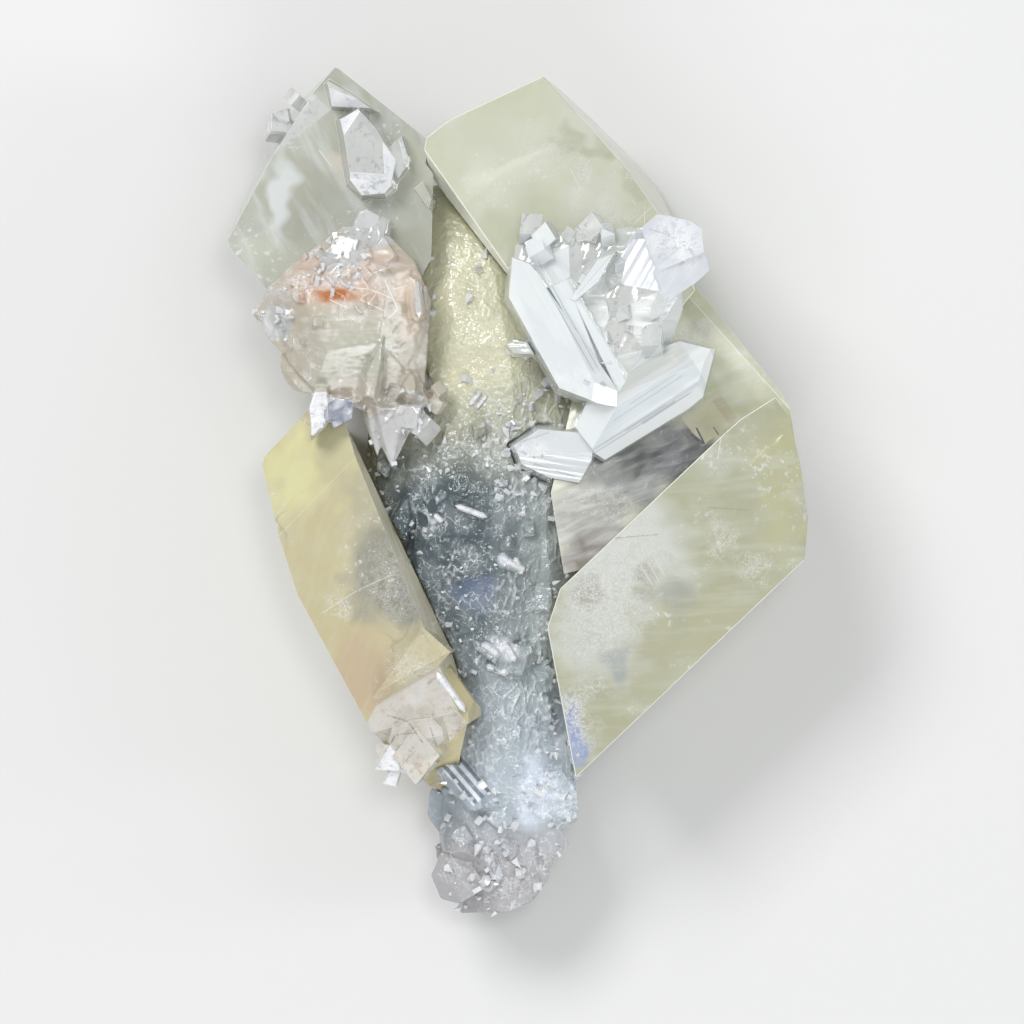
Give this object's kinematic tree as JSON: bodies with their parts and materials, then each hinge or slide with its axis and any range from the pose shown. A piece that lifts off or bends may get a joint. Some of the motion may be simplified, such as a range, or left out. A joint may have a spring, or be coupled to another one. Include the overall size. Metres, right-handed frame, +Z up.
{
  "type": "calcite crystal cluster",
  "caption": "Mineral specimen: broad pale yellow calcite crystals and white blades grown on a grey crystalline spine, lying on its back.",
  "frame": {"origin": "on the surface that the cluster rests on, under the middle of its outline", "axes": "+Z up out of the show face, +Y towards the crown, +X towards the two right-hand crystals"},
  "size_m": [0.0885, 0.13, 0.0393],
  "materials": {
    "upper_right_calcite": "glossy crystal face",
    "lower_right_calcite": "glossy crystal face",
    "right_calcite": "glossy crystal face",
    "upper_left_calcite": "cloudy crystal face",
    "lower_left_calcite": "glossy crystal face",
    "peach_calcite": "cloudy crystal face",
    "white_blade": "glossy striated face",
    "grey_druse": "finely crystalline"
  },
  "bodies": {
    "root": {"upper_right_crystal": "upper_right_calcite", "lower_right_crystal": "lower_right_calcite", "right_crystal": "right_calcite", "upper_left_crystal": "upper_left_calcite", "lower_left_crystal": "lower_left_calcite", "peach_crystals": "peach_calcite", "white_blades": "white_blade", "druse_spine": "grey_druse"}
  },
  "joints": []
}
